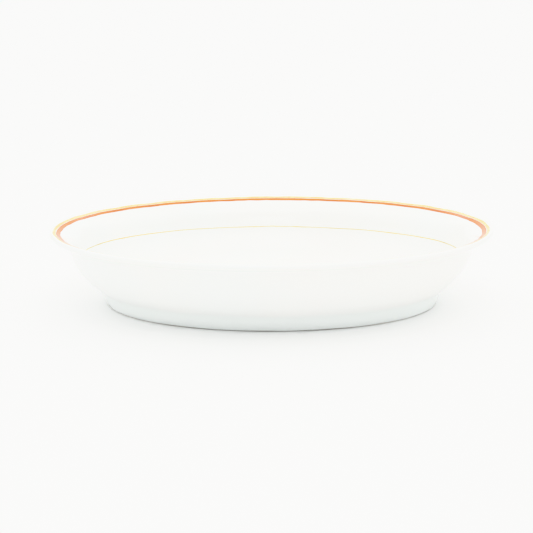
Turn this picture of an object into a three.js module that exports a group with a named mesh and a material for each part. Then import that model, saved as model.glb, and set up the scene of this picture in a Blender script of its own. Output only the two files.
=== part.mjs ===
// Oval open serving dish in glazed porcelain: one fired body on a foot ring, its clear glaze,
// an enamelled band and two gilded lines. Millimetres, +Z up, +X along the length. The origin
// is the centre of the foot's bearing face, which stands at z = 0.
//
// Every piece is a section carried round an oval. A section point holds x, how far it lies
// outside the finished outline (negative is inside it), z, its height, nx and nz, the way out
// of the clay, and lobe, its share of the scalloped edge. A section is followed with the clay
// on its left. A point marked centre is the middle of a floor, where the rings close.
import * as THREE from 'three';

// Plan
const dishLength = 254;
const dishWidth = 190;
const dishHeight = 44;
const planExponent = 2.02; // 2 is an ellipse, and more gives squarer shoulders

// Facets: stations in a quarter of the oval, and steps along each curve of the section
const stationsPerQuarter = 20;
const lipSteps = 4;
const wallSteps = 4;
const wallFaceSteps = 2;
const coveSteps = 4;

// Scalloped edge: places are shares of a quarter, from the middle of a long side to the end
const notchFirst = 0.2;
const notchPitch = 0.15;
const notchCount = 5;
const notchWidth = 0.034;
const notchDepth = 0.45; // inwards at the edge
const notchDrop = 0.15; // downwards at the edge

// Foot ring and base
const footInset = 31.2; // outer face at the bottom, in from the outline
const footHeight = 8.2;
const footDraft = 2.3; // how far the outer face leans out over its height
const footEdgeRadius = 0.6;
const bearingWidth = 2.6;
const recessHeight = 4; // hollow inside the ring
const recessSlope = 2.4; // plan width of the slope from the ring up to the base

// Wall and well
const wallThickness = 3.2;
const wellThickness = 4.2;
const wallFootAngle = 40; // degrees above level, where the wall leaves the foot
const wallTopAngle = 78; // degrees above level, where the lip begins
const wallFootPull = 0.45; // curve handles, in shares of the stretch they shape
const wallTopPull = 0.3;
const coveStart = 0.5; // share of the wall above which its inside keeps its thickness
const coveReach = 11; // level part of the rounding that joins the wall to the floor

// Flared lip
const lipThickness = 2;
const lipReach = 10.7; // outwards, from the top of the wall to the middle of the edge
const lipRise = 11.6; // upwards, from the top of the wall to the middle of the edge
const lipEdgeAngle = 22; // degrees above level, at the edge
const lipPull = 0.4;

// Layers on the clay, drawn thicker than they are fired
const bondGap = 0.15; // clear of the layer below
const glazeThickness = 0.35;
const goldThickness = 0.25;
const enamelThickness = 0.25;
const glazeLine = 1.4; // the foot is left bare below this height
const gildingStart = 80; // degrees above level, on the round of the edge
const gildingWidth = 1.9;
const bandGap = 0.15; // between the gilding and the coral band
const coralWidth = 2.8;
const vergeDrop = 4.6; // from the foot of the lip down to the thin line
const vergeWidth = 0.5;

const glazeBuild = bondGap + glazeThickness;
const decorationFoot = glazeBuild + bondGap;
const edgeRadius = lipThickness / 2;
const edgeCentre = new THREE.Vector2(
  -glazeBuild - edgeRadius,
  dishHeight - decorationFoot - goldThickness - edgeRadius,
);

function direction(degrees) {
  const angle = THREE.MathUtils.degToRad(degrees);
  return new THREE.Vector2(Math.cos(angle), Math.sin(angle));
}

function rightOf(way) {
  return new THREE.Vector2(way.y, -way.x);
}

function sectionPoint(place, facing, lobe = 0) {
  return { x: place.x, z: place.y, nx: facing.x, nz: facing.y, lobe };
}

function mixPoints(a, b, share) {
  const mix = (key) => a[key] + (b[key] - a[key]) * share;
  return { x: mix('x'), z: mix('z'), nx: mix('nx'), nz: mix('nz'), lobe: mix('lobe') };
}

// A cubic curve that leaves and arrives at the given angles above level.
function fairCurve(start, startAngle, startPull, end, endAngle, endPull) {
  const span = start.distanceTo(end);
  const leave = start.clone().addScaledVector(direction(startAngle), span * startPull);
  const arrive = end.clone().addScaledVector(direction(endAngle), -span * endPull);
  return new THREE.CubicBezierCurve(start, leave, arrive, end);
}

function pointsAlong(curve, from, to, steps, lobeAt = () => 0) {
  const points = [];
  for (let i = 0; i <= steps; i += 1) {
    const t = from + ((to - from) * i) / steps;
    points.push(sectionPoint(curve.getPoint(t), rightOf(curve.getTangent(t)), lobeAt(t)));
  }
  return points;
}

// The far side of a wall: the same stretch run backwards, moved in by its thickness, which
// goes evenly from one value to another.
function farSide(points, thicknessFrom, thicknessTo) {
  const last = points.length - 1;
  const side = points.map((p, i) => {
    const thickness = thicknessFrom + ((thicknessTo - thicknessFrom) * i) / last;
    return {
      x: p.x - p.nx * thickness,
      z: p.z - p.nz * thickness,
      nx: -p.nx,
      nz: -p.nz,
      lobe: p.lobe,
    };
  });
  return side.reverse();
}

// Underside: from the middle of the base out to the inner edge of the bearing face.
function makeRecess() {
  const innerEdge = -footInset - footEdgeRadius - bearingWidth;
  const ringSide = new THREE.Vector2(innerEdge - footEdgeRadius, footEdgeRadius);
  const slopeTop = new THREE.Vector2(ringSide.x - recessSlope, recessHeight);
  const slopeFacing = rightOf(ringSide.clone().sub(slopeTop).normalize());
  const down = direction(-90);
  return [
    { centre: true, z: recessHeight, nz: -1 },
    sectionPoint(slopeTop, down.clone().add(slopeFacing).normalize()),
    sectionPoint(ringSide, slopeFacing),
    sectionPoint(new THREE.Vector2(innerEdge, 0), down),
  ];
}

const footTop = new THREE.Vector2(-footInset + footDraft, footHeight);
const wallTop = edgeCentre.clone().sub(new THREE.Vector2(lipReach, lipRise));
const wall = fairCurve(footTop, wallFootAngle, wallFootPull, wallTop, wallTopAngle, wallTopPull);

function makeLipUnderside() {
  const end = edgeCentre.clone().addScaledVector(direction(lipEdgeAngle - 90), edgeRadius);
  const lip = fairCurve(wallTop, wallTopAngle, lipPull, end, lipEdgeAngle, lipPull);
  return pointsAlong(lip, 0, 1, lipSteps, (t) => t * t);
}

const lipUnderside = makeLipUnderside();

function edgePoint(degrees) {
  const facing = direction(degrees);
  return sectionPoint(edgeCentre.clone().addScaledVector(facing, edgeRadius), facing, 1);
}

// Outside: from the bearing face up the foot, the wall and the lip, and round its edge.
function makeOutside() {
  const footSide = new THREE.Vector2(-footInset, footEdgeRadius);
  const footFacing = rightOf(footTop.clone().sub(footSide).normalize());
  const bearingEdge = new THREE.Vector2(-footInset - footEdgeRadius, 0);
  const wallSide = pointsAlong(wall, 0, 1, wallSteps);
  const wallFacing = rightOf(wall.getTangent(0));
  return [
    sectionPoint(bearingEdge, direction(-90)),
    sectionPoint(footSide, footFacing),
    sectionPoint(footTop, footFacing.clone().add(wallFacing).normalize()),
    ...wallSide.slice(1),
    ...lipUnderside.slice(1),
    edgePoint(0),
    edgePoint(gildingStart / 2),
  ];
}

const lipFace = farSide(lipUnderside, wallThickness, lipThickness);

// Face: from the round of the edge down the inside to the middle of the well.
function makeFace() {
  const behind = pointsAlong(wall, coveStart, 1, wallFaceSteps);
  const wallFace = farSide(behind, wallThickness, wallThickness);
  const coveTop = wallFace[wallFace.length - 1];
  const floorHeight = recessHeight + wellThickness;
  const fall = (coveTop.z - floorHeight) / -coveTop.nx; // down the wall's slope to the floor
  const corner = new THREE.Vector2(coveTop.x - coveTop.nz * fall, floorHeight);
  const cove = new THREE.QuadraticBezierCurve(
    new THREE.Vector2(coveTop.x, coveTop.z),
    corner,
    new THREE.Vector2(corner.x - coveReach, floorHeight),
  );
  return [
    edgePoint(gildingStart),
    edgePoint(90),
    ...lipFace,
    ...wallFace.slice(1, -1),
    ...pointsAlong(cove, 0, 1, coveSteps),
    { centre: true, z: floorHeight, nz: 1 },
  ];
}

// A section with each point's distance from its start.
function measured(section) {
  let along = 0;
  return section.map((point, i) => {
    const before = section[i - 1];
    const step = before && !before.centre && !point.centre;
    along += step ? Math.hypot(point.x - before.x, point.z - before.z) : 0;
    return { ...point, along };
  });
}

const recess = measured(makeRecess());
const face = measured(makeFace());
const skin = measured([...makeOutside(), ...makeFace()]);

function placeAt(section, distance) {
  const rim = section.filter((p) => !p.centre);
  const next = rim.findIndex((p) => p.along > distance);
  const a = rim[next - 1];
  const b = rim[next];
  return mixPoints(a, b, (distance - a.along) / (b.along - a.along));
}

// The part of a section between two distances, with the corners that lie between them.
function stretch(section, from, to) {
  const between = section.filter((p) => !p.centre && p.along > from && p.along < to);
  return [placeAt(section, from), ...between, placeAt(section, to)];
}

// Distance at which a section first passes a height, going up or down.
function distanceAtHeight(section, height) {
  const passes = (p, i) => i > 0 && (section[i - 1].z - height) * (p.z - height) <= 0;
  const next = section.findIndex((p, i) => passes(p, i) && !section[i - 1].centre);
  const a = section[next - 1];
  const b = section[next];
  return a.along + ((b.along - a.along) * (height - a.z)) / (b.z - a.z);
}

// Angles of the oval's stations over a quarter, from the middle of a long side to the end,
// the same distance apart along the outline.
function quarterAngles() {
  const fineSteps = 2000;
  const rounding = 1e-9;
  const angleAt = (i) => (Math.PI / 2) * (1 - i / fineSteps);
  const placeOf = (i) => new THREE.Vector2(
    (dishLength / 2) * Math.cos(angleAt(i)) ** (2 / planExponent),
    (dishWidth / 2) * Math.sin(angleAt(i)) ** (2 / planExponent),
  );
  const lengths = [0];
  for (let i = 1; i <= fineSteps; i += 1) {
    lengths.push(lengths[i - 1] + placeOf(i).distanceTo(placeOf(i - 1)));
  }
  const angles = [];
  for (let j = 0; j <= stationsPerQuarter; j += 1) {
    const wanted = (lengths[fineSteps] * j) / stationsPerQuarter;
    angles.push(angleAt(lengths.findIndex((length) => length >= wanted - rounding)));
  }
  return angles;
}

// How deep the scallop is at a share of the quarter: 1 in a notch and 0 on a lobe.
function notchAt(share) {
  let depth = 0;
  for (let i = 0; i < notchCount; i += 1) {
    const off = (share - notchFirst - i * notchPitch) / notchWidth;
    depth += Math.exp(-off * off);
  }
  return depth;
}

// Stations round the whole oval, anticlockwise from +X: where each lies as a share of the
// half-length and half-width, and its notch.
function makeStations() {
  const angles = quarterAngles();
  const power = 2 / planExponent;
  const stations = [];
  for (let k = 0; k < 4 * stationsPerQuarter; k += 1) {
    const quarter = Math.floor(k / stationsPerQuarter);
    const step = k % stationsPerQuarter;
    const fromSide = quarter % 2 === 0 ? stationsPerQuarter - step : step;
    const signX = quarter === 0 || quarter === 3 ? 1 : -1;
    const signY = quarter < 2 ? 1 : -1;
    stations.push({
      x: signX * Math.max(0, Math.cos(angles[fromSide])) ** power,
      y: signY * Math.max(0, Math.sin(angles[fromSide])) ** power,
      notch: notchAt(fromSide / stationsPerQuarter),
    });
  }
  return stations;
}

const stations = makeStations();

// Vertices of a section point at all stations, raised off the clay by a build-up.
function ringOf(point, build) {
  const height = point.z + point.nz * build;
  if (point.centre) {
    return [new THREE.Vector3(0, 0, height)];
  }
  const out = point.x + point.nx * build;
  return stations.map((station) => {
    const dip = point.lobe * station.notch;
    return new THREE.Vector3(
      (dishLength / 2 + out - dip * notchDepth) * station.x,
      (dishWidth / 2 + out - dip * notchDepth) * station.y,
      height - dip * notchDrop,
    );
  });
}

// A surface through rings of vertices, closed at a centre point at both ends, or else on
// itself.
function surfaceThrough(rings) {
  const vertices = rings.flat();
  const starts = [];
  rings.reduce((start, ring) => {
    starts.push(start);
    return start + ring.length;
  }, 0);
  const indices = [];
  const around = stations.length;
  const bands = rings[0].length === 1 ? rings.length - 1 : rings.length;
  for (let r = 0; r < bands; r += 1) {
    const next = (r + 1) % rings.length;
    for (let k = 0; k < around; k += 1) {
      const turn = (k + 1) % around;
      const a = starts[r] + (k % rings[r].length);
      const b = starts[next] + (k % rings[next].length);
      const c = starts[next] + (turn % rings[next].length);
      const d = starts[r] + (turn % rings[r].length);
      if (a !== d) {
        indices.push(a, d, b);
      }
      if (b !== c) {
        indices.push(b, d, c);
      }
    }
  }
  const geometry = new THREE.BufferGeometry().setFromPoints(vertices);
  geometry.setIndex(indices);
  geometry.computeVertexNormals();
  return geometry;
}

// A layer over part of a section, between two build-ups off the clay. One that ends at a
// centre point covers the floor there.
function layerOver(points, bottom, top) {
  const covered = points.map((p) => ringOf(p, top));
  const under = points.map((p) => ringOf(p, bottom)).reverse();
  const endsAtCentre = points[points.length - 1].centre;
  return surfaceThrough(endsAtCentre ? [...under, ...covered] : [...covered, ...under]);
}

function piece(name, geometry, finish) {
  const mesh = new THREE.Mesh(geometry, new THREE.MeshStandardMaterial(finish));
  mesh.name = name;
  return mesh;
}

// Fired clay, from the middle of the base over the lip to the middle of the well.
function makeBody() {
  const rings = [...recess, ...skin].map((p) => ringOf(p, 0));
  return piece('porcelain_body', surfaceThrough(rings), {
    color: 0xeae6dc,
    roughness: 0.75,
    metalness: 0,
  });
}

const glazeFinish = { color: 0xf6f6f3, roughness: 0.08, metalness: 0 };

// The coat that the dish was dipped in, from the line on the foot over the lip and the well.
function makeGlazeCoat() {
  const line = distanceAtHeight(skin, glazeLine);
  const above = skin.filter((p) => p.centre || p.along > line);
  const coat = layerOver([placeAt(skin, line), ...above], bondGap, glazeBuild);
  return piece('glaze_coat', coat, glazeFinish);
}

// The same glaze on the base, inside the foot ring.
function makeBaseGlaze() {
  const upward = [...recess].reverse();
  const line = distanceAtHeight(recess, glazeLine);
  const above = upward.filter((p) => p.centre || p.along < line);
  const coat = layerOver([placeAt(recess, line), ...above], glazeBuild, bondGap);
  return piece('base_glaze', coat, glazeFinish);
}

const gilding = { color: 0xe6c673, roughness: 0.25, metalness: 1 };

// Gold over the round of the lip's edge, and just inside it.
function makeRimGilding() {
  const points = stretch(face, 0, gildingWidth);
  const geometry = layerOver(points, decorationFoot, decorationFoot + goldThickness);
  return piece('rim_gilding', geometry, gilding);
}

// Enamelled band, beside the gold on the lip's upper face.
function makeCoralBand() {
  const start = gildingWidth + bandGap;
  const points = stretch(face, start, start + coralWidth);
  const geometry = layerOver(points, decorationFoot, decorationFoot + enamelThickness);
  return piece('coral_band', geometry, { color: 0xe0763f, roughness: 0.3, metalness: 0 });
}

// Thin gold line on the inside, at the foot of the lip.
function makeVergeLine() {
  const lipFoot = face[lipFace.length + 1].along;
  const start = lipFoot + vergeDrop;
  const points = stretch(face, start, start + vergeWidth);
  const geometry = layerOver(points, decorationFoot, decorationFoot + goldThickness);
  return piece('verge_line', geometry, gilding);
}

const dish = new THREE.Group();
dish.add(makeBody());
dish.add(makeGlazeCoat());
dish.add(makeBaseGlaze());
dish.add(makeRimGilding());
dish.add(makeCoralBand());
dish.add(makeVergeLine());

export default dish;
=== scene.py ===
import math

import bpy
import numpy as np
from mathutils import Matrix, Vector


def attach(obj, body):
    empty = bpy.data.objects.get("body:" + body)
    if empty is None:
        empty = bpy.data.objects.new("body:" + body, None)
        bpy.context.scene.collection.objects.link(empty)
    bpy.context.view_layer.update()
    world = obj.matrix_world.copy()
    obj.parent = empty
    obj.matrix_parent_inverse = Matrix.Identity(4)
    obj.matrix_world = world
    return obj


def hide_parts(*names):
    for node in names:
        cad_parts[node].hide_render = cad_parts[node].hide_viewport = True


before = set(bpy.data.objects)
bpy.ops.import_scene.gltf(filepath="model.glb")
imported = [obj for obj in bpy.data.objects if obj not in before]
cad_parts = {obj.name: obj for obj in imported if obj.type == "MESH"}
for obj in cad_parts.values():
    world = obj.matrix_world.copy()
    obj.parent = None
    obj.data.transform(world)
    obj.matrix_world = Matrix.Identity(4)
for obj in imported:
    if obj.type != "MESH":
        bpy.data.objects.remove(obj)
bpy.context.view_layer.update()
scene = bpy.context.scene
mm = 0.001
print("frame loaded:", sorted(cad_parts))

# Section of the dish. Millimetres: x runs out from the finished outline, so it is negative
# inside it, and z is height above the table. The line is followed with the clay on its left:
# from the base inside the foot, out over the foot, up the wall, over the lip and down the well.

dish = {
    "length": 254.0,
    "width": 190.0,
    "height": 44.0,
    "fullness": 2.02,        # 2 is an ellipse, and more gives squarer shoulders
    "stations": 400,         # columns round the oval
    "glazeBuild": 0.5,       # clay to the glazed surface
    "film": 0.04,            # how far gold and enamel stand on the glaze
    "floorCentre": 0.03,     # the innermost ring of a level floor, as a share of its rim
}

foot = {
    "inset": 31.2,           # outer face at the bottom, in from the outline
    "height": 8.2,
    "draft": 2.3,            # outward lean over its height
    "edge": 0.35,            # bevel of the two bottom edges
    "edgeRounding": 0.21,    # rounding of the bevel's own corners
    "bearing": 2.6,          # flat width that stands on the table
    "recess": 4.0,           # height of the base inside the ring
    "recessSlope": 2.4,
    "recessFloor": 6.0,      # level part of the base that the section takes in
    "recessCorner": 1.3,     # rounding where the slope meets the base
    "throat": 2.6,           # rounding where the foot meets the wall
}

wall = {
    "thickness": 3.2,
    "footAngle": 40.0,       # degrees above level, where it leaves the foot
    "topAngle": 78.0,
    "footPull": 0.45,        # curve handles, in shares of the stretch they shape
    "topPull": 0.3,
    "coveStart": 0.5,        # share of the wall above which its inside keeps its thickness
    "coveReach": 11.0,
    "floor": 8.2,            # height of the well
}

lip = {
    "thickness": 2.0,
    "reach": 10.7,
    "rise": 11.6,
    "edgeAngle": 22.0,
    "pull": 0.4,
}

scallop = {
    "first": 0.2,            # first notch, as a share of a quarter from the middle of a long side
    "pitch": 0.15,
    "count": 5,
    "width": 0.034,
    "depth": 0.45,           # inwards at the edge
    "drop": 0.15,            # downwards at the edge
}


# A step of one unit at an angle above level.
def direction(degrees):
    return np.array([math.cos(math.radians(degrees)), math.sin(math.radians(degrees))])


# An ease from 0 to 1 with level ends: s squared times 3 less twice s.
def ease(share):
    share = np.clip(share, 0, 1)
    return share * share * (3 - 2 * share)


# A run of the section: x, z and its share of the scallop, side by side.
def run(points, lobe=0.0):
    return np.column_stack([points, np.broadcast_to(lobe, len(points))])


# A straight run: start times 1 - t plus end times t.
def straight(start, end, steps=60):
    t = np.linspace(0, 1, steps)[:, None]
    return run(np.asarray(start) * (1 - t) + np.asarray(end) * t)


# A cubic Bezier: it leaves and arrives at two angles, with handles that are shares of its chord.
def fairCurve(start, startAngle, startPull, end, endAngle, endPull, steps=400):
    span = np.linalg.norm(end - start)
    leave = start + direction(startAngle) * span * startPull
    arrive = end - direction(endAngle) * span * endPull
    t = np.linspace(0, 1, steps)[:, None]
    first = (1 - t) ** 3 * start + 3 * (1 - t) ** 2 * t * leave
    second = 3 * (1 - t) * t * t * arrive + t ** 3 * end
    return first + second


# Distance of each point from the start of its line: the lengths of the steps, added up.
def distances(line):
    steps = np.hypot(np.diff(line[:, 0]), np.diff(line[:, 1]))
    return np.concatenate([[0], np.cumsum(steps)])


# The way out of the clay: the direction of travel, turned a quarter to the right.
def facing(line):
    along = distances(line)
    dx = np.gradient(line[:, 0], along)
    dz = np.gradient(line[:, 1], along)
    size = np.hypot(dx, dz)
    return np.column_stack([dz / size, -dx / size])


# Two runs joined at the corner they share. A parabola rounds it, from one cut before to one after.
def joinRounded(before, after, cut):
    if cut == 0:
        return np.vstack([before, after[1:]])
    alongBefore = distances(before)
    alongAfter = distances(after)
    keepBefore = before[alongBefore < alongBefore[-1] - cut]
    keepAfter = after[alongAfter > cut]
    t = np.linspace(0, 1, 40)[:, None]
    corner = before[-1]
    rounding = (1 - t) ** 2 * keepBefore[-1] + 2 * (1 - t) * t * corner + t * t * keepAfter[0]
    return np.vstack([keepBefore[:-1], rounding, keepAfter[1:]])


# The section: straight runs with rounded corners for the foot, cubics for the wall and the
# underside of the lip, a half circle for its edge, and their offsets for the upper side.
def makeSection():
    radius = lip["thickness"] / 2
    edgeCentre = np.array([0, dish["height"] - dish["film"]]) - dish["glazeBuild"] - radius
    footTop = np.array([-foot["inset"] + foot["draft"], foot["height"]])
    wallTop = edgeCentre - [lip["reach"], lip["rise"]]

    outerEdge = -foot["inset"] - foot["edge"]
    innerEdge = outerEdge - foot["bearing"]
    ringSide = [innerEdge - foot["edge"], foot["edge"]]
    slopeTop = [ringSide[0] - foot["recessSlope"], foot["recess"]]
    corners = [
        [slopeTop[0] - foot["recessFloor"], foot["recess"]],
        slopeTop,
        ringSide,
        [innerEdge, 0],
        [outerEdge, 0],
        [-foot["inset"], foot["edge"]],
        footTop,
    ]
    cuts = [0, foot["recessCorner"]] + [foot["edgeRounding"]] * 4
    section = straight(corners[0], corners[1])
    for i in range(1, len(corners) - 1):
        section = joinRounded(section, straight(corners[i], corners[i + 1], 200), cuts[i])

    footAngle, topAngle = wall["footAngle"], wall["topAngle"]
    rising = fairCurve(footTop, footAngle, wall["footPull"], wallTop, topAngle, wall["topPull"])
    section = joinRounded(section, run(rising), foot["throat"])

    lipEnd = edgeCentre + direction(lip["edgeAngle"] - 90) * radius
    under = fairCurve(wallTop, topAngle, lip["pull"], lipEnd, lip["edgeAngle"], lip["pull"])
    t = np.linspace(0, 1, len(under))
    section = joinRounded(section, run(under, t * t), 0)

    # round of the lip's edge, half a turn from the underside to the upper face
    turn = np.radians(np.linspace(lip["edgeAngle"] - 90, lip["edgeAngle"] + 90, 120))
    edge = edgeCentre + radius * np.column_stack([np.cos(turn), np.sin(turn)])
    section = joinRounded(section, run(edge, 1.0), 0)

    # upper face: the underside moved in by a thickness that eases from the root to the edge
    thickness = wall["thickness"] + (lip["thickness"] - wall["thickness"]) * ease(t)
    upper = under - facing(run(under)) * thickness[:, None]
    section = joinRounded(section, run(upper[::-1], (t * t)[::-1]), 0)

    inside = rising - facing(run(rising)) * wall["thickness"]
    inside = inside[np.linspace(0, 1, len(rising)) >= wall["coveStart"]][::-1]
    section = joinRounded(section, run(inside), 0)

    # rounding into the floor: a parabola from the wall's slope to level
    top = inside[-1]
    slope = inside[-1] - inside[-2]
    corner = top + slope * (wall["floor"] - top[1]) / slope[1]
    end = corner - [wall["coveReach"], 0]
    s = np.linspace(0, 1, 300)[:, None]
    cove = (1 - s) ** 2 * top + 2 * (1 - s) * s * corner + s * s * end
    return joinRounded(section, run(cove), 0)


# A running mean over some values on each side, weighted by a bell curve.
def bellMean(values, reach):
    weights = np.exp(-np.linspace(-2, 2, 2 * reach + 1) ** 2)
    return np.convolve(np.pad(values, reach, mode="edge"), weights / weights.sum(), "valid")


# The section at even small steps, with the way out of the clay smoothed over its near steps by a
# bell-shaped mean.
def measuredSection():
    step = 0.04
    line = makeSection()
    along = distances(line)
    line = line[np.concatenate([[True], np.diff(along) > 1e-6])]
    along = distances(line)
    fine = np.arange(0, along[-1], step)
    x, z, lobe = [np.interp(fine, along, column) for column in line.T]
    out = facing(np.column_stack([x, z]))
    nx, nz = [bellMean(column, 10) for column in out.T]
    size = np.hypot(nx, nz)
    return {"along": fine, "x": x, "z": z, "lobe": lobe, "nx": nx / size, "nz": nz / size}


section = measuredSection()
peak = int(np.argmax(section["x"]))          # outermost point of the lip's edge


# Distance along the section at which it passes a height, between two of its distances.
def distanceAtHeight(height, low, high):
    inside = (section["along"] >= low) & (section["along"] <= high)
    along = section["along"][inside]
    z = section["z"][inside]
    return float(along[np.argmin(np.abs(z - height))])


# Where rows of vertices lie between two distances: each gap is a set turn over the bend there,
# kept between the finest and the coarsest.
def rowPlaces(low, high, finest=0.22, coarsest=1.5, turnPerRow=0.16):
    turned = np.unwrap(np.arctan2(section["nz"], section["nx"]))
    bend = np.abs(np.gradient(turned, section["along"])) + 1e-6
    spacing = bellMean(np.clip(turnPerRow / bend, finest, coarsest), 30)
    counted = np.concatenate([[0], np.cumsum(np.diff(section["along"]) / spacing[1:])])
    first, last = np.interp([low, high], section["along"], counted)
    rows = max(2, int(round(last - first)) + 1)
    return np.interp(np.linspace(first, last, rows), counted, section["along"])


# Stations round the oval, the same distance apart: a superellipse, x is cos to the power
# 2/fullness and y is sin to the same power, each with its sign, as shares of the half-axes.
def makeStations():
    power = 2 / dish["fullness"]
    angle = np.linspace(0, math.pi / 2, 20001)
    x = np.cos(angle).clip(0) ** power
    y = np.sin(angle) ** power
    steps = np.hypot(np.diff(x) * dish["length"], np.diff(y) * dish["width"])
    walked = np.concatenate([[0], np.cumsum(steps)])
    quarter = dish["stations"] // 4
    wanted = np.linspace(0, walked[-1], quarter + 1)
    x = np.interp(wanted, walked, x)
    y = np.interp(wanted, walked, y)
    share = 1 - np.linspace(0, 1, quarter + 1)       # 0 at the middle of a long side, 1 at the end
    sx = np.concatenate([x[:-1], -x[:0:-1], -x[:-1], x[:0:-1]])
    sy = np.concatenate([y[:-1], y[:0:-1], -y[:-1], -y[:0:-1]])
    share = np.concatenate([share[:-1], share[:0:-1], share[:-1], share[:0:-1]])
    places = scallop["first"] + scallop["pitch"] * np.arange(scallop["count"])
    notch = np.exp(-((share[:, None] - places) / scallop["width"]) ** 2).sum(1)
    return sx, sy, notch


stationX, stationY, stationNotch = makeStations()


# Values for every vertex of a set of rings, from one value for each row or one for each vertex.
def rowsRound(values):
    values = np.asarray(values, float)
    values = values[:, None] if values.ndim == 1 else values
    return np.broadcast_to(values, (len(values), dish["stations"]))


# One of the section's columns at distances along it.
def sectionAt(along, key):
    return np.interp(along, section["along"], section[key])


# Vertices at distances along the section and build-ups off the clay, one row for each distance:
# half-axes less the inset, times the station's shares, with each notch taken in and down.
def ringsAt(along, build):
    along = rowsRound(along)
    build = rowsRound(build)
    dip = sectionAt(along, "lobe") * stationNotch
    out = sectionAt(along, "x") + sectionAt(along, "nx") * build - dip * scallop["depth"]
    x = (dish["length"] / 2 + out) * stationX
    y = (dish["width"] / 2 + out) * stationY
    z = sectionAt(along, "z") + sectionAt(along, "nz") * build - dip * scallop["drop"]
    return np.stack([x, y, z], axis=2)


# Places for rows that keep one distance off the clay, and that distance for each of them.
def bareRows(low, high, spacing, build):
    places = rowPlaces(low, high, *spacing)
    return places, np.full(len(places), float(build))


# Rings over a level floor, from its rim to near the middle: the rim ring, shrunk evenly.
def floorRings(rim, rows):
    share = np.linspace(1, dish["floorCentre"], rows + 1)[1:]
    rings = rim[None] * share[:, None, None]
    rings[:, :, 2] = rim[None, :, 2]
    return rings


# A smooth wander round the oval: sines of whole numbers of waves, with fixed random phases.
def wander(seed, fewest, most, size):
    chance = np.random.default_rng(seed)
    waves = np.arange(fewest, most)[:, None]
    phases = chance.uniform(0, 2 * np.pi, waves.shape)
    strengths = chance.normal(0, 1, waves.shape)
    turn = 2 * np.pi * np.arange(dish["stations"]) / dish["stations"]
    curve = (strengths * np.sin(waves * turn + phases)).sum(0)
    return size * curve / curve.std()


# A mesh through rings of vertices: quads between neighbouring rings, closed by a fan on a middle
# point at both ends, or else by joining the last ring to the first.
def makeSurface(name, rings, facts=None, poles=None):
    rows, around, _ = rings.shape
    vertices = rings.reshape(-1, 3) * mm
    turn = (np.arange(around) + 1) % around
    lower = np.arange(rows - 1 if poles is not None else rows)
    upper = (lower + 1) % rows
    a = lower[:, None] * around + np.arange(around)
    b = lower[:, None] * around + turn
    c = upper[:, None] * around + turn
    d = upper[:, None] * around + np.arange(around)
    quads = np.stack([a, b, c, d], axis=2).reshape(-1, 4)
    loops = quads.ravel()
    sizes = np.full(len(quads), 4)
    if poles is not None:
        first = len(vertices)
        vertices = np.vstack([vertices, np.asarray(poles) * mm])
        column = np.arange(around)
        top = (rows - 1) * around
        startFan = np.column_stack([np.full(around, first), turn, column])
        endFan = np.column_stack([top + column, top + turn, np.full(around, first + 1)])
        loops = np.concatenate([loops, startFan.ravel(), endFan.ravel()])
        sizes = np.concatenate([sizes, np.full(2 * around, 3)])
    mesh = bpy.data.meshes.new(name)
    mesh.vertices.add(len(vertices))
    mesh.vertices.foreach_set("co", vertices.ravel())
    mesh.loops.add(len(loops))
    mesh.loops.foreach_set("vertex_index", loops.astype(np.int32))
    mesh.polygons.add(len(sizes))
    mesh.polygons.foreach_set("loop_start", (np.cumsum(sizes) - sizes).astype(np.int32))
    mesh.update(calc_edges=True)
    mesh.validate()
    mesh.shade_smooth()
    for fact, values in (facts or {}).items():
        attribute = mesh.attributes.new(fact, "FLOAT", "POINT")
        flat = np.broadcast_to(values, (rows, around)).ravel()
        if poles is not None:
            flat = np.concatenate([flat, [flat[0], flat[-1]]])
        attribute.data.foreach_set("value", flat.astype(np.float32))
    made = bpy.data.objects.new(name, mesh)
    scene.collection.objects.link(made)
    return made


# Puts a finished piece on the dish: its material, what it rides on, what it stands for.
def place(made, material, node):
    made.data.materials.append(material)
    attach(made, "root")
    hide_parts(node)
    print(made.name, "made,", len(made.data.polygons), "faces")


# Materials. Small makers of nodes, so that each finish below reads as a recipe.

# An empty material, with its tree, its shader and the object's own coordinates.
def startMaterial(name):
    material = bpy.data.materials.new(name)
    material.use_nodes = True
    tree = material.node_tree
    shader = tree.nodes["Principled BSDF"]
    coordinates = tree.nodes.new("ShaderNodeTexCoord").outputs["Object"]
    return material, tree, shader, coordinates


# Links a socket to an input, or sets a plain value on it.
def feed(tree, value, socket):
    if isinstance(value, bpy.types.NodeSocket):
        tree.links.new(value, socket)
    else:
        socket.default_value = value


# Cloudy noise from 0 to 1.
def noise(tree, coordinates, scale, detail=3.0, roughness=0.5, distortion=0.0):
    node = tree.nodes.new("ShaderNodeTexNoise")
    feed(tree, coordinates, node.inputs["Vector"])
    node.inputs["Scale"].default_value = scale
    node.inputs["Detail"].default_value = detail
    node.inputs["Roughness"].default_value = roughness
    node.inputs["Distortion"].default_value = distortion
    return node.outputs["Fac"]


# Coordinates turned and stretched, for marks that run one way.
def stretched(tree, coordinates, scale, turn=(0, 0, 0)):
    node = tree.nodes.new("ShaderNodeMapping")
    feed(tree, coordinates, node.inputs["Vector"])
    node.inputs["Scale"].default_value = scale
    node.inputs["Rotation"].default_value = turn
    return node.outputs["Vector"]


# Distance to the nearest of many scattered points.
def cells(tree, coordinates, scale):
    node = tree.nodes.new("ShaderNodeTexVoronoi")
    feed(tree, coordinates, node.inputs["Vector"])
    node.inputs["Scale"].default_value = scale
    return node.outputs["Distance"]


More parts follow.
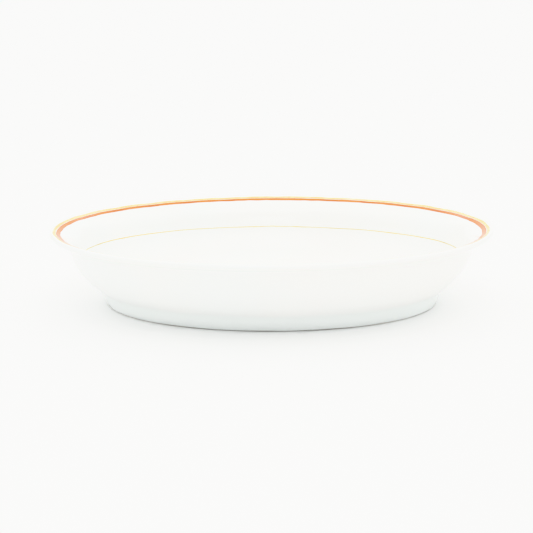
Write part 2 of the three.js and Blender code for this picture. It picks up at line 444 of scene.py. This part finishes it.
# A value eased from one range into another, and held at its ends.
def between(tree, value, low, high, outLow=0.0, outHigh=1.0):
    node = tree.nodes.new("ShaderNodeMapRange")
    node.interpolation_type = "SMOOTHSTEP"
    feed(tree, value, node.inputs["Value"])
    node.inputs["From Min"].default_value = low
    node.inputs["From Max"].default_value = high
    node.inputs["To Min"].default_value = outLow
    node.inputs["To Max"].default_value = outHigh
    return node.outputs["Result"]


# One sum on two values.
def sums(tree, operation, a, b):
    node = tree.nodes.new("ShaderNodeMath")
    node.operation = operation
    feed(tree, a, node.inputs[0])
    feed(tree, b, node.inputs[1])
    return node.outputs["Value"]


# The first colour at a share of 0, the second at 1.
def blendColours(tree, share, a, b):
    node = tree.nodes.new("ShaderNodeMix")
    node.data_type = "RGBA"
    feed(tree, share, node.inputs[0])
    feed(tree, (*a, 1) if isinstance(a, tuple) else a, node.inputs[6])
    feed(tree, (*b, 1) if isinstance(b, tuple) else b, node.inputs[7])
    return node.outputs[2]


# A value that the mesh carries at its vertices.
def fact(tree, name):
    node = tree.nodes.new("ShaderNodeAttribute")
    node.attribute_name = name
    return node.outputs["Fac"]


# How far a point lies from the middle line of its band, from 0 to a half.
def fromMiddle(tree):
    return sums(tree, "ABSOLUTE", sums(tree, "SUBTRACT", fact(tree, "across"), 0.5), 0.0)


# Fine relief in the shading, laid over another where one is given.
def relief(tree, height, distance, strength=1.0, under=None):
    node = tree.nodes.new("ShaderNodeBump")
    feed(tree, height, node.inputs["Height"])
    node.inputs["Distance"].default_value = distance
    node.inputs["Strength"].default_value = strength
    if under is not None:
        feed(tree, under, node.inputs["Normal"])
    return node.outputs["Normal"]


# Clear glaze over white porcelain. It is a little greener on the foot and beside its line inside
# the ring, has a soft swell like still water, rare kiln specks, and faint marks of use in the well.
glazeFinish = {
    "colour": (0.862, 0.872, 0.858),
    "warm": (0.880, 0.876, 0.856),
    "greenTint": (0.843, 0.870, 0.852),
    "speck": (0.32, 0.25, 0.19),
    "speckStrength": 0.55,
    "gloss": (0.05, 0.10),   # lowest and highest roughness
    "scuffGloss": 0.06,      # roughness added by the marks of use
    "swell": 0.00012,        # depths of relief, in metres
    "peel": 0.00003,
    "speckDepth": 0.0001,
    "refraction": 1.52,
}


def makeGlaze():
    material, tree, shader, coordinates = startMaterial("clear glaze on porcelain")
    cloud = between(tree, noise(tree, coordinates, 14.0, 2.0), 0.35, 0.7)
    tint = blendColours(tree, cloud, glazeFinish["colour"], glazeFinish["warm"])
    tint = blendColours(tree, fact(tree, "greenTintShare"), tint, glazeFinish["greenTint"])
    distance = cells(tree, coordinates, 210.0)
    rare = between(tree, noise(tree, coordinates, 95.0, 1.0), 0.66, 0.7)
    dot = sums(tree, "MULTIPLY", between(tree, distance, 0.05, 0.09, 1.0, 0.0), rare)
    speck = sums(tree, "MULTIPLY", dot, glazeFinish["speckStrength"])
    tint = blendColours(tree, speck, tint, glazeFinish["speck"])
    tree.links.new(tint, shader.inputs["Base Color"])

    scuffs = noise(tree, stretched(tree, coordinates, (900, 40, 200), (0, 0, 0.5)), 1.0, 2.0, 0.6)
    scuffs = between(tree, scuffs, 0.62, 0.75)
    worn = sums(tree, "MULTIPLY", scuffs, fact(tree, "well"))
    gloss = between(tree, noise(tree, coordinates, 30.0, 3.0), 0.3, 0.75, *glazeFinish["gloss"])
    gloss = sums(tree, "ADD", gloss, sums(tree, "MULTIPLY", worn, glazeFinish["scuffGloss"]))
    tree.links.new(gloss, shader.inputs["Roughness"])

    swell = relief(tree, noise(tree, coordinates, 70.0, 1.0), glazeFinish["swell"], 0.5)
    peel = relief(tree, noise(tree, coordinates, 420.0, 1.0), glazeFinish["peel"], 0.35, swell)
    tree.links.new(relief(tree, dot, glazeFinish["speckDepth"], 0.6, peel), shader.inputs["Normal"])
    shader.inputs["IOR"].default_value = glazeFinish["refraction"]
    return material


# Bare fired clay on the foot: matt, faintly warm, with fine grain, and soiled grey low down in
# patches. Low down along both long sides it also carries painted shadow, in the same dark colour.
bisqueFinish = {
    "clay": (0.74, 0.705, 0.64),
    "pale": (0.82, 0.795, 0.74),
    # dark colour of the soil, and of the painted shadow along the long sides
    "rubbed": (0.38, 0.35, 0.30),
    "patches": 0.5,          # strength of the soiled patches
    "soilAndShadow": 0.9,             # strength of all the soil and the painted shadow
    "soilAndShadowHeights": (0.0003, 0.0014),     # full soil and painted shadow below the first, in metres
    "gloss": (0.62, 0.85),
    "coarse": 0.00012,       # depths of relief, in metres
    "grain": 0.00006,
}


def makeBisque():
    material, tree, shader, coordinates = startMaterial("bare fired clay")
    grain = noise(tree, coordinates, 900.0, 6.0, 0.7)
    mottle = between(tree, grain, 0.3, 0.7)
    tint = blendColours(tree, mottle, bisqueFinish["clay"], bisqueFinish["pale"])
    patches = between(tree, noise(tree, coordinates, 120.0, 4.0, 0.6), 0.45, 0.72)
    height = tree.nodes.new("ShaderNodeSeparateXYZ")
    tree.links.new(coordinates, height.inputs[0])
    low = between(tree, height.outputs["Z"], *bisqueFinish["soilAndShadowHeights"], 1.0, 0.2)
    patches = sums(tree, "MULTIPLY", patches, bisqueFinish["patches"])
    # painted shadow along both long sides, taken with the soiled patches where either is stronger
    soiledAndShaded = sums(tree, "MULTIPLY", sums(tree, "MAXIMUM", patches, fact(tree, "side")), low)
    soiledAndShaded = sums(tree, "MULTIPLY", soiledAndShaded, bisqueFinish["soilAndShadow"])
    tint = blendColours(tree, soiledAndShaded, tint, bisqueFinish["rubbed"])
    tree.links.new(tint, shader.inputs["Base Color"])
    gloss = between(tree, grain, 0.2, 0.8, *bisqueFinish["gloss"])
    tree.links.new(gloss, shader.inputs["Roughness"])
    coarse = relief(tree, noise(tree, coordinates, 350.0, 3.0), bisqueFinish["coarse"], 0.5)
    tree.links.new(relief(tree, grain, bisqueFinish["grain"], 0.6, coarse), shader.inputs["Normal"])
    return material


# Burnished gold: pale and streaked, and worn thin in patches, more so towards a band's edges.
goldFinish = {
    "bright": (0.90, 0.80, 0.38),
    "deep": (0.80, 0.64, 0.24),
    "worn": (0.90, 0.86, 0.66),
    "gloss": (0.14, 0.24),
    "wornGloss": 0.12,       # roughness added where it is worn
    "streak": 0.00003,       # depths of relief, in metres
    "rub": 0.00002,
}


def makeGold(name, wear):
    material, tree, shader, coordinates = startMaterial(name)
    streaks = noise(tree, coordinates, 260.0, 4.0, 0.6, 0.4)
    shade = between(tree, streaks, 0.32, 0.68)
    tint = blendColours(tree, shade, goldFinish["bright"], goldFinish["deep"])
    rubbed = noise(tree, coordinates, 75.0, 5.0, 0.65)
    thin = sums(tree, "ADD", rubbed, sums(tree, "MULTIPLY", fromMiddle(tree), wear))
    thin = between(tree, thin, 0.62, 0.86)
    tint = blendColours(tree, thin, tint, goldFinish["worn"])
    tree.links.new(tint, shader.inputs["Base Color"])
    gloss = between(tree, noise(tree, coordinates, 600.0, 3.0), 0.3, 0.7, *goldFinish["gloss"])
    gloss = sums(tree, "ADD", gloss, sums(tree, "MULTIPLY", thin, goldFinish["wornGloss"]))
    tree.links.new(gloss, shader.inputs["Roughness"])
    shader.inputs["Metallic"].default_value = 1.0
    brushed = relief(tree, streaks, goldFinish["streak"], 0.4)
    tree.links.new(relief(tree, rubbed, goldFinish["rub"], 0.3, brushed), shader.inputs["Normal"])
    return material


# Coral enamel laid with a brush: thin and light in the middle of a lobe, gathered and darker in
# the notches and along both edges, with small breaks in its density.
coralFinish = {
    "light": (0.53, 0.185, 0.014),
    "full": (0.45, 0.140, 0.006),
    "gathered": (0.36, 0.09, 0.005),
    "edges": 0.5,            # how much it gathers along its edges
    "gather": 0.8,           # strength of all the gathering
    "gloss": (0.08, 0.16),
    "stroke": 0.00003,       # depths of relief, in metres
    "wash": 0.00006,
    "shine": 0.35,           # specular level
}


def makeCoral():
    material, tree, shader, coordinates = startMaterial("coral enamel")
    wash = noise(tree, coordinates, 90.0, 5.0, 0.6, 0.5)
    density = between(tree, wash, 0.3, 0.7)
    tint = blendColours(tree, density, coralFinish["light"], coralFinish["full"])
    ragged = sums(tree, "ADD", fromMiddle(tree), sums(tree, "MULTIPLY", wash, 0.2))
    rimmed = sums(tree, "MULTIPLY", between(tree, ragged, 0.42, 0.62), coralFinish["edges"])
    gathered = sums(tree, "MAXIMUM", rimmed, fact(tree, "notch"))
    gathered = sums(tree, "MULTIPLY", gathered, coralFinish["gather"])
    tint = blendColours(tree, gathered, tint, coralFinish["gathered"])
    tree.links.new(tint, shader.inputs["Base Color"])
    gloss = between(tree, wash, 0.25, 0.75, *coralFinish["gloss"])
    tree.links.new(gloss, shader.inputs["Roughness"])
    strokes = relief(tree, noise(tree, coordinates, 500.0, 3.0), coralFinish["stroke"], 0.5)
    tree.links.new(relief(tree, wash, coralFinish["wash"], 0.4, strokes), shader.inputs["Normal"])
    shader.inputs["Specular IOR Level"].default_value = coralFinish["shine"]
    return material


glaze = makeGlaze()
bisque = makeBisque()
rimGold = makeGold("burnished gold on the edge", 0.5)
lineGold = makeGold("gold of the thin line", 0.35)
coral = makeCoral()
print("materials made")


# The fired clay, from the middle of the base over the lip to the middle of the well.

clay = {
    "rows": (0.35, 2.2, 0.22),       # finest and coarsest gap, and turn for each row
    "floorRows": 5,
    "sideShadowTo": 0.25,          # share of the half length out to which the foot carries full painted shadow
    "sideShadowFade": 0.55,        # share over which the painted shadow fades from there
}


# The bare section carried round. A fact for painted shadow on the foot eases down from the middle
# of each long side to nothing near the ends.
def makeClay():
    shell = ringsAt(*bareRows(0, section["along"][-1], clay["rows"], 0))
    base = floorRings(shell[0], clay["floorRows"])[::-1]
    well = floorRings(shell[-1], clay["floorRows"])
    rings = np.concatenate([base, shell, well])
    facts = {"side": ease(1 - (np.abs(stationX) - clay["sideShadowTo"]) / clay["sideShadowFade"])}
    return makeSurface("clayBody", rings, facts, [[0, 0, foot["recess"]], [0, 0, wall["floor"]]])


place(makeClay(), bisque, "porcelain_body")


# The two coats of glaze. Each thins towards a line on the foot that wanders a little, and ends
# there in a small round edge.

coat = {
    "line": 0.48,            # height on the foot at which it stops
    "waver": 0.06,
    "bond": 0.04,            # inner face, clear of the clay
    "edgeBuild": 0.2,        # its thickness along that line
    "edgeReach": 0.8,        # how far its round edge takes, as a share of that thickness
    "edgeRows": 7,
    "nextRow": 0.75,         # from the line to the first row past the edge
    "clear": 1.2,            # from the line to where the other rows start
    "taper": 2.5,            # how far it takes to reach its full thickness
    "innerRows": (0.5, 4.0, 0.4),
    "floorRows": 7,
    "innerFloorRows": 4,
    "greenTintFade": 3.2,         # height above the foot over which the greener tint fades
    "wearFrom": 22.0,        # from the lip's edge to where the marks of use start
    "baseGreenTint": 0.4,         # strength of the greener tint under the base
    "baseGreenTintReach": 1.6,
}

standing = section["along"][np.argmin(section["z"])]     # where the foot stands on the table


# Rows of a coat from its line on the foot: a quarter-round edge, then a thickness that eases
# from the edge's to the full one.
def coatRows(places, line, sign):
    turn = np.radians(np.linspace(0, 90, coat["edgeRows"]))
    rounding = (1 - np.cos(turn)) * coat["edgeBuild"] * coat["edgeReach"]
    edgeBuild = coat["bond"] + np.sin(turn) * (coat["edgeBuild"] - coat["bond"])
    start = line + sign * rounding[:, None]
    rest = rowsRound(places[np.abs(places - line.mean()) > coat["clear"]])
    along = np.vstack([start, line + sign * coat["nextRow"], rest])
    build = np.concatenate([edgeBuild, np.full(1 + len(rest), coat["edgeBuild"])])
    eased = ease(np.abs(along - line) / coat["taper"])
    return along, build[:, None] + (dish["glazeBuild"] - coat["edgeBuild"]) * eased


# The outer coat: its inner face from the middle of the well back to the line, then its outer face
# from the line over the lip and down to the middle again.
def makeCoat():
    edge = section["along"][peak]
    end = section["along"][-1]
    low = distanceAtHeight(coat["line"], standing, edge)
    line = low + wander(3, 2, 26, coat["waver"])
    along, build = coatRows(rowPlaces(low, end), line, 1)
    outside = ringsAt(along, build)
    well = floorRings(outside[-1], coat["floorRows"])
    inner = ringsAt(*bareRows(low + coat["clear"], end, coat["innerRows"], coat["bond"]))
    innerWell = floorRings(inner[-1], coat["innerFloorRows"])[::-1]
    rings = np.concatenate([innerWell, inner[::-1], outside, well])

    above = (sectionAt(along, "z") - foot["height"]) / coat["greenTintFade"]
    greenTintShare = (1 - ease(above)) * (along < edge)
    worn = (along > edge + coat["wearFrom"]).astype(float)
    before = np.zeros((len(innerWell) + len(inner), dish["stations"]))
    after = np.zeros((len(well), dish["stations"]))
    facts = {
        "greenTintShare": np.concatenate([before, greenTintShare, after]),
        "well": np.concatenate([before, worn, after + 1]),
    }
    level = wall["floor"]
    poles = [[0, 0, level + coat["bond"]], [0, 0, level + dish["glazeBuild"]]]
    return makeSurface("glazeSkin", rings, facts, poles)


place(makeCoat(), glaze, "glaze_coat")


# The coat inside the foot ring, made the same way from its line to the middle of the base, and
# turned about so that it faces down.
def makeBaseCoat():
    high = distanceAtHeight(coat["line"], 0, standing)
    line = high + wander(5, 2, 22, coat["waver"])
    along, build = coatRows(rowPlaces(0, high)[::-1], line, -1)
    outside = ringsAt(along, build)
    base = floorRings(outside[-1], coat["floorRows"])
    inner = ringsAt(*bareRows(0, high - coat["clear"], coat["innerRows"], coat["bond"]))
    innerBase = floorRings(inner[0], coat["innerFloorRows"])[::-1]
    rings = np.concatenate([innerBase, inner, outside, base])[::-1]

    greenTintShare = coat["baseGreenTint"] * np.exp(-((along - line) / coat["baseGreenTintReach"]) ** 2)
    before = np.zeros((len(innerBase) + len(inner), dish["stations"]))
    after = np.zeros((len(base), dish["stations"]))
    facts = {
        "greenTintShare": np.concatenate([before, greenTintShare, after])[::-1],
        "well": np.zeros(rings.shape[:2]),
    }
    level = foot["recess"]
    poles = [[0, 0, level - dish["glazeBuild"]], [0, 0, level - coat["bond"]]]
    return makeSurface("footWellGlaze", rings, facts, poles)


place(makeBaseCoat(), glaze, "base_glaze")


# Painted bands, placed by distances along the clay beneath them. The gilding starts on the round
# of the lip's edge, the coral band follows it inwards, and the thin line lies below the lip.

bands = {
    "gildingFrom": 103.0,    # degrees above level, on the round of the edge
    "gildingWidth": 1.75,
    "gap": 0.02,
    "coralWidth": 2.85,
    "vergeDrop": 4.8,        # from the foot of the lip down to the thin line
    "vergeRise": 1.1,        # how much higher the thin line runs at the two ends
    "vergeWidth": 0.5,
    "gildingWaver": (0.07, 0.06),    # wander of each band's two edges
    "coralWaver": (0.03, 0.09),
    "vergeWaver": (0.03, 0.05),
    "vergeDrift": 0.08,      # slow wander of the whole thin line
    "coralFilm": 0.9,        # shares of the gilding's film
    "vergeFilm": 0.8,
    "flatness": 5,           # higher is flatter on top and quicker at the edges
    "sink": 0.04,            # how far the back lies in the glaze
    "edgeSink": 0.016,       # how far the edges lie in it
}


# A band over the glaze between two wandering edges, with its back just inside the glaze. Its
# height is 1 less a high power of the distance from its middle line, so its top is nearly flat.
def makeBand(name, start, end, film, rows=14):
    share = (1 - np.cos(np.linspace(0, np.pi, rows))) / 2
    along = start + (end - start) * share[:, None]
    dome = 1 - np.abs(2 * share - 1) ** bands["flatness"]
    top = dish["glazeBuild"] - bands["edgeSink"] + (film + bands["edgeSink"]) * dome
    back = np.full(rows, dish["glazeBuild"] - bands["sink"])
    rings = np.concatenate([ringsAt(along, top), ringsAt(along[::-1], back)])
    across = np.concatenate([share, share[::-1]])[:, None]
    facts = {
        "across": np.broadcast_to(across, (2 * rows, dish["stations"])),
        "notch": np.broadcast_to(stationNotch, (2 * rows, dish["stations"])),
    }
    return makeSurface(name, rings, facts)


turned = np.degrees(np.arctan2(section["nz"], section["nx"]))
afterPeak = np.arange(len(turned)) >= peak
gildingStart = section["along"][afterPeak & (turned >= bands["gildingFrom"])][0]
lipFoot = section["along"][afterPeak & (section["lobe"] == 0)][0]

edgeLow = gildingStart + wander(11, 3, 60, bands["gildingWaver"][0])
gildingEnd = gildingStart + bands["gildingWidth"]
edgeHigh = gildingEnd + wander(12, 3, 70, bands["gildingWaver"][1])
gilding = makeBand("edgeGilding", edgeLow, edgeHigh, dish["film"])
place(gilding, rimGold, "rim_gilding")

coralLow = edgeHigh + bands["gap"] + np.abs(wander(13, 3, 60, bands["coralWaver"][0]))
coralEnd = gildingEnd + bands["gap"] + bands["coralWidth"]
coralHigh = coralEnd + wander(14, 3, 80, bands["coralWaver"][1])
enamel = makeBand("coralEnamel", coralLow, coralHigh, dish["film"] * bands["coralFilm"])
place(enamel, coral, "coral_band")

verge = lipFoot + bands["vergeDrop"] - bands["vergeRise"] * stationX ** 4
verge = verge + wander(15, 2, 12, bands["vergeDrift"])
vergeLow = verge + wander(16, 3, 60, bands["vergeWaver"][0])
vergeHigh = verge + bands["vergeWidth"] + wander(17, 3, 60, bands["vergeWaver"][1])
thinLine = makeBand("vergeGilding", vergeLow, vergeHigh, dish["film"] * bands["vergeFilm"], 10)
place(thinLine, lineGold, "verge_line")


# Stage: a pale floor, a bright even room, wide lights all round and one softbox in front.

stage = {
    "floorSize": 60.0,
    "floorRings": 24,
    "floorSides": 96,
    "floor": (0.90, 0.90, 0.895),
    "floorMottle": 0.995,    # the darker share of its colour
    "floorGloss": 0.7,       # roughness
    "floorShine": 0.2,       # specular level
    "room": (0.975, 0.99, 1.0),
    "roomStrength": 0.48,
    "sky": 1.95,             # light from the ceiling, a little behind the dish
    "skyElevation": 77.0,
    "skySpread": 95.0,       # degrees across
    "skyColour": (1.0, 0.985, 0.965),
    "back": 0.45,            # light off the backdrop
    "backElevation": 14.0,
    "backSpread": 50.0,
    "front": 0.24,           # low light from beside the camera, which reaches in under the lip
    "frontElevation": 12.0,
    "frontSpread": 24.0,
    "side": 0.55,            # light from a wide window on the left and one on the right
    "sideElevation": 38.0,
    "sideSpread": 60.0,
    "softboxPlace": (0.1, -0.55, 1.4),
    "softboxTarget": (0, -0.1, 0),
    "softboxSize": 0.9,
    "softboxPower": 2.4,
}


# A round floor in rings: each radius is the cube of its share of the way out.
def makeFloor():
    sides = stage["floorSides"]
    radius = np.linspace(0, 1, stage["floorRings"] + 1)[1:, None] ** 3 * stage["floorSize"] / 2
    angle = np.linspace(0, 2 * np.pi, sides + 1)[:-1]
    x = radius * np.cos(angle)
    y = radius * np.sin(angle)
    rings = np.stack([x, y, np.zeros_like(x)], axis=2)
    vertices = np.vstack([[[0, 0, 0]], rings.reshape(-1, 3)])
    column = np.arange(sides)
    turn = (column + 1) % sides
    fan = np.column_stack([np.zeros(sides, int), 1 + column, 1 + turn])
    lower = 1 + sides * np.arange(stage["floorRings"] - 1)[:, None]
    upper = lower + sides
    quads = np.stack([lower + column, upper + column, upper + turn, lower + turn], axis=2)
    mesh = bpy.data.meshes.new("floor")
    mesh.from_pydata(vertices.tolist(), [], fan.tolist() + quads.reshape(-1, 4).tolist())
    floor = bpy.data.objects.new("floor", mesh)
    scene.collection.objects.link(floor)
    material, tree, shader, coordinates = startMaterial("pale paper floor")
    shade = between(tree, noise(tree, coordinates, 6.0, 3.0), 0.3, 0.7)
    darker = tuple(channel * stage["floorMottle"] for channel in stage["floor"])
    tint = blendColours(tree, shade, stage["floor"], darker)
    tree.links.new(tint, shader.inputs["Base Color"])
    shader.inputs["Roughness"].default_value = stage["floorGloss"]
    shader.inputs["Specular IOR Level"].default_value = stage["floorShine"]
    mesh.materials.append(material)


makeFloor()

world = bpy.data.worlds.new("bright room")
scene.world = world
world.use_nodes = True
background = world.node_tree.nodes["Background"]
background.inputs["Color"].default_value = (*stage["room"], 1)
background.inputs["Strength"].default_value = stage["roomStrength"]


# A square soft light that looks at a point.
def makeSoftLight(name, position, target, size, power):
    data = bpy.data.lights.new(name, "AREA")
    data.size = size
    data.energy = power
    light = bpy.data.objects.new(name, data)
    scene.collection.objects.link(light)
    light.location = position
    light.rotation_euler = (Vector(target) - Vector(position)).to_track_quat("-Z", "Y").to_euler()


makeSoftLight("front softbox", stage["softboxPlace"], stage["softboxTarget"],
              stage["softboxSize"], stage["softboxPower"])


# The way towards a place in the sky: azimuth runs from the front to the right, and elevation up.
def skyDirection(azimuth, elevation):
    a = math.radians(azimuth)
    e = math.radians(elevation)
    return Vector((math.sin(a) * math.cos(e), -math.cos(a) * math.cos(e), math.sin(e)))


# Light from a wide round patch of the sky, the same at any distance.
def makeFarLight(name, azimuth, elevation, spread, strength, colour=(1, 1, 1)):
    data = bpy.data.lights.new(name, "SUN")
    data.energy = strength
    data.color = colour
    data.angle = math.radians(spread)
    light = bpy.data.objects.new(name, data)
    scene.collection.objects.link(light)
    light.rotation_euler = skyDirection(azimuth, elevation).to_track_quat("Z", "Y").to_euler()


# The elevation, spread and strength that the stage gives to one of its lights.
def lightValues(word):
    return stage[word + "Elevation"], stage[word + "Spread"], stage[word]


makeFarLight("ceiling", 180, *lightValues("sky"), stage["skyColour"])
makeFarLight("backdrop", 180, *lightValues("back"))
makeFarLight("low front light", 0, *lightValues("front"))
makeFarLight("left window", -90, *lightValues("side"))
makeFarLight("right window", 90, *lightValues("side"))
print("stage and lights made")


# Camera: a back direction from azimuth and elevation, a distance, and a slight roll.

view = {
    "azimuth": 3.92,
    "elevation": 13.6,
    "distance": 0.64907,
    "target": (0, 0, 0.025),
    "roll": -0.72,
    "lens": 75.36,
    "sensor": 36.0,
    "shift": (-0.0073, -0.0166),
    "near": 0.01,
    "far": 200.0,
    "exposure": 0.61,
}


def makeCamera():
    data = bpy.data.cameras.new("camera")
    camera = bpy.data.objects.new("camera", data)
    scene.collection.objects.link(camera)
    data.lens = view["lens"]
    data.sensor_width = view["sensor"]
    data.shift_x, data.shift_y = view["shift"]
    data.clip_start = view["near"]
    data.clip_end = view["far"]
    back = skyDirection(view["azimuth"], view["elevation"])
    roll = Matrix.Rotation(math.radians(view["roll"]), 3, "Z")
    turn = (-back).to_track_quat("-Z", "Y").to_matrix() @ roll
    spot = Vector(view["target"]) + back * view["distance"]
    camera.matrix_world = Matrix.Translation(spot) @ turn.to_4x4()
    scene.camera = camera


makeCamera()
scene.view_settings.view_transform = "Khronos PBR Neutral"
scene.view_settings.look = "None"
scene.view_settings.exposure = view["exposure"]
print("camera set")
